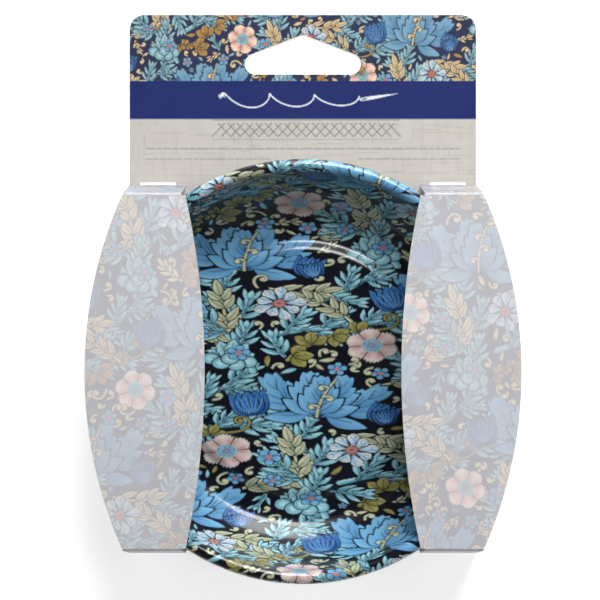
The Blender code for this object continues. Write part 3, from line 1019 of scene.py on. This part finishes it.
def lathe(name, profile, segments, materials, body):
    """A surface of revolution through the profile of (radius, height)."""
    points, faces, rings = [], [], []
    for radius, height in profile:
        if radius < 1e-6:
            rings.append([len(points)])
            points.append((0, 0, height * MM))
            continue
        rings.append(list(range(len(points), len(points) + segments)))
        points += [(radius * math.cos(a) * MM, radius * math.sin(a) * MM, height * MM)
                   for a in spread(0, 2 * math.pi, segments)[:-1]]
    for one, two in zip(rings, rings[1:]):
        for i in range(segments):
            j = (i + 1) % segments
            quad = [one[i % len(one)], two[i % len(two)], two[j % len(two)], one[j % len(one)]]
            faces.append(tuple(dict.fromkeys(quad)))
    add_object(name, smooth_mesh(name, points, faces), materials, body)


# ---------------------------------------------------------------- the object

def card_piece(name, node, outline, place, body, materials, paint=None, hole=None, bow=flat):
    """A panel of the card. `paint` turns its face's points into their colours."""
    mesh, printed_points = card_mesh(name, outline, hole, PRINT_SPACING if paint else PLAIN_SPACING, bow)
    if paint:
        colours = np.full((len(mesh.vertices), 3), 0.8)
        colours[:len(printed_points)] = paint(printed_points)
        printed_colours(mesh, colours)
    mesh.transform(place)
    add_object(name, mesh, materials, body, node)


def crease(name, one, fold, two, spans, materials):
    """The folded card between two panels: a bend through three points of (y, z), over each span of x."""
    steps, columns = 8, 40
    points, faces = [], []
    a, b, c = (Vector(p) for p in (one, fold, two))
    for start, end in spans:
        first = len(points)
        for i in range(steps + 1):
            t = i / steps
            centre = a * (1 - t) ** 2 + b * 2 * t * (1 - t) + c * t * t
            along = ((b - a) * (1 - t) + (c - b) * t).normalized()
            out = Vector((along.y, -along.x)) * CARD / 2
            for side in (1, -1):
                y, z = centre + out * side
                points += [(x * MM, y * MM, z * MM) for x in spread(start, end, columns)]
        wide = columns + 1
        rows = [first + r * wide for r in range(2 * (steps + 1))]
        for i in range(steps):
            for side in (0, 1):
                low, high = rows[2 * i + side], rows[2 * i + 2 + side]
                faces += [(low + k, low + k + 1, high + k + 1, high + k) for k in range(columns)]
            for k in (0, columns):
                faces.append(tuple(rows[2 * i + r] + k for r in (0, 1, 3, 2)))
        for i in (0, steps):
            faces += [(rows[2 * i] + k, rows[2 * i] + k + 1, rows[2 * i + 1] + k + 1, rows[2 * i + 1] + k)
                      for k in range(columns)]
    obj = add_object(name, smooth_mesh(name, points, faces), materials, None)
    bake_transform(obj)


def along_slope(distance, y, z, angle):
    return (y + distance * math.cos(angle), z + distance * math.sin(angle))


def build_card(printed_card, printed_header, raw, worn_and_shaded):
    card_piece("back_board", "back_panel", back_outline(), PLACES["back"], "back", [raw, raw])
    card_piece("header_board", "header_panel", header_outline(), PLACES["header"], "header",
               [printed_header, raw], header_print, slot_outline())
    # The top flaps take the greyer veil, painted shade that dims them.
    pairs = (("bottom_flap", bottom_flap_outline(), "bottom", flat, 0.0, VEIL),
             ("front_panel", front_outline(), "front", front_bow, FLAP_LENGTH, VEIL),
             ("top_flap", top_flap_outline(), "top", flat, FLAP_LENGTH + 2 * FRONT_Y, FLAP_VEIL_PAINTED_SHADE))
    for name, outline, body, bow, first, veil in pairs:
        for side, shape in (("right", outline), ("left", mirrored(outline))):
            def print_on(points, first=first, seed=21 if side == "right" else 34, veil=veil):
                return veiled(points + (0, first), seed, veil)
            card_piece(f"{name}_{side}_board", f"{name}_{side}", shape, PLACES[body], f"{body}_{side}",
                       [printed_card, raw], print_on, bow=bow)
    # The creases take the grey of worn card, part wear and part painted shade.
    reach = CREASE_GAP + CREASE_LAP
    right, left = (FLAP_INNER_X, END_HALF_WIDTH), (-END_HALF_WIDTH, -FLAP_INNER_X)
    half_notch = TAB_HALF_WIDTH + TAB_CLEARANCE
    inner, outer = TAB_MIDDLE_X - half_notch, TAB_MIDDLE_X + half_notch
    fold = (BACK_Y, BACK_Z - CREASE_DIP)
    crease("header_crease", (BACK_Y - reach, BACK_Z), fold, (BACK_Y + reach, BACK_Z),
           [(-inner, inner), (outer, END_HALF_WIDTH), (-END_HALF_WIDTH, -outer)], [worn_and_shaded])
    for side, span in (("right", right), ("left", left)):
        crease(f"bottom_crease_{side}", (-BACK_Y + reach, BACK_Z), (-BACK_Y, BACK_Z),
               along_slope(reach, -BACK_Y, BACK_Z, SLOPE), [span], [worn_and_shaded])
        crease(f"front_crease_{side}", along_slope(-reach, -FRONT_Y, FRONT_Z, SLOPE), (-FRONT_Y, FRONT_Z),
               (-FRONT_Y + reach, FRONT_Z), [span], [worn_and_shaded])
        crease(f"top_crease_{side}", (FRONT_Y - reach, FRONT_Z), (FRONT_Y, FRONT_Z),
               along_slope(reach, FRONT_Y, FRONT_Z, -SLOPE), [span],
               [worn_and_shaded])


# ---------------------------------------------------------------- the picture

CAMERA = Vector((-0.8, 19.0, 596.0)) * MM
LENS_MM, SENSOR_MM = 129.6, 36.0
ROOM_LIGHT = 0.07
FLOOR_REACH, FLOOR_Z = 4, -0.0002


def area_light(name, location, aim, size, power):
    light = bpy.data.lights.new(name, "AREA")
    light.shape, light.size, light.size_y = "RECTANGLE", *size
    light.energy = power
    obj = bpy.data.objects.new(name, light)
    obj.location = location
    obj.rotation_euler = (Vector(aim) - Vector(location)).to_track_quat("-Z", "Y").to_euler()
    bpy.context.scene.collection.objects.link(obj)


def build_stage():
    floor = plain("floor", srgb(236, 236, 237), srgb(240, 240, 240), 3, 0.7, 0.85, 40, 0.02,
                  Specular_IOR_Level=0.1, Emission_Color=(1, 1, 1, 1), Emission_Strength=0.62)
    mesh = bpy.data.meshes.new("floor")
    corners = ((-1, -1), (1, -1), (1, 1), (-1, 1))
    mesh.from_pydata([(x * FLOOR_REACH, y * FLOOR_REACH, FLOOR_Z) for x, y in corners], [], [(0, 1, 2, 3)])
    obj = bpy.data.objects.new("floor", mesh)
    obj.data.materials.append(floor)
    bpy.context.scene.collection.objects.link(obj)

    camera = bpy.data.objects.new("camera", bpy.data.cameras.new("camera"))
    camera.data.sensor_width, camera.data.lens = SENSOR_MM, LENS_MM
    camera.data.clip_start, camera.data.clip_end = 0.02, 20
    camera.location = CAMERA
    bpy.context.scene.collection.objects.link(camera)
    bpy.context.scene.camera = camera

    area_light("key", (0.15, 0.62, 0.62), (0, 0.0, 0), (0.40, 0.42), 6.5)
    area_light("window", (0.15, 0.88, 0.28), (0, 0.0, 0), (0.46, 0.34), 3.6)
    area_light("left", (-0.85, 0.05, 0.62), (0, 0.02, 0), (0.5, 0.7), 1.8)
    area_light("right", (0.85, 0.05, 0.62), (0, 0.02, 0), (0.5, 0.7), 1.8)
    area_light("front", (0.0, -0.8, 0.55), (0, 0.02, 0), (1.2, 0.8), 0.35)
    # The room is white to the eye and dim as a light, so that the lamps shape the tin.
    world = bpy.data.worlds.new("studio")
    world.use_nodes = True
    nodes, links = world.node_tree.nodes, world.node_tree.links
    nodes["Background"].inputs["Color"].default_value = (1, 1, 1, 1)
    seen = nodes.new("ShaderNodeMath")
    seen.operation = "MULTIPLY_ADD"
    seen.inputs[1].default_value, seen.inputs[2].default_value = 1.0 - ROOM_LIGHT, ROOM_LIGHT
    links.new(nodes.new("ShaderNodeLightPath").outputs["Is Camera Ray"], seen.inputs[0])
    links.new(seen.outputs[0], nodes["Background"].inputs["Strength"])
    bpy.context.scene.world = world
    bpy.context.scene.view_settings.view_transform = "Standard"


def main():
    tin = printed("tin_print", 0.24, 0.34, 900, 0.10, Coat_Weight=0.6, Coat_Roughness=0.08,
                  Specular_IOR_Level=0.4)
    printed_card = printed("card_print", 0.45, 0.6, 1400, 0.25, Specular_IOR_Level=0.3)
    printed_header = printed("header_print", 0.42, 0.56, 1400, 0.22, Specular_IOR_Level=0.3)
    raw = plain("card_raw", srgb(190, 187, 181), srgb(208, 205, 200), 420, 0.75, 0.9, 2200, 0.5)
    # The creases are grey: part wear of the fold, part painted shade that keeps the fold lines dark.
    worn_and_shaded = plain("card_worn_and_shaded", srgb(178, 178, 184), srgb(214, 213, 216), 900, 0.7, 0.85, 2600, 0.8)
    silver = plain("tin_bare", srgb(172, 174, 178), srgb(196, 198, 202), 60, 0.28, 0.42, 700, 0.1,
                   stretch=(1, 1, 6), Metallic=1.0)
    build_dish(tin, silver)
    build_card(printed_card, printed_header, raw, worn_and_shaded)
    finishes = {
        "magnet": plain("ferrite", srgb(66, 66, 70), srgb(88, 88, 92), 500, 0.5, 0.7, 1800, 0.5),
        "magnet_tape": plain("tape", srgb(206, 204, 196), srgb(224, 222, 214), 300, 0.7, 0.85, 1500, 0.3),
        "base_pad": plain("foam", srgb(42, 42, 46), srgb(62, 62, 66), 700, 0.85, 0.95, 3200, 0.9),
    }
    for node, finish in finishes.items():
        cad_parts[node].material_slots[0].material = finish
    build_stage()


main()
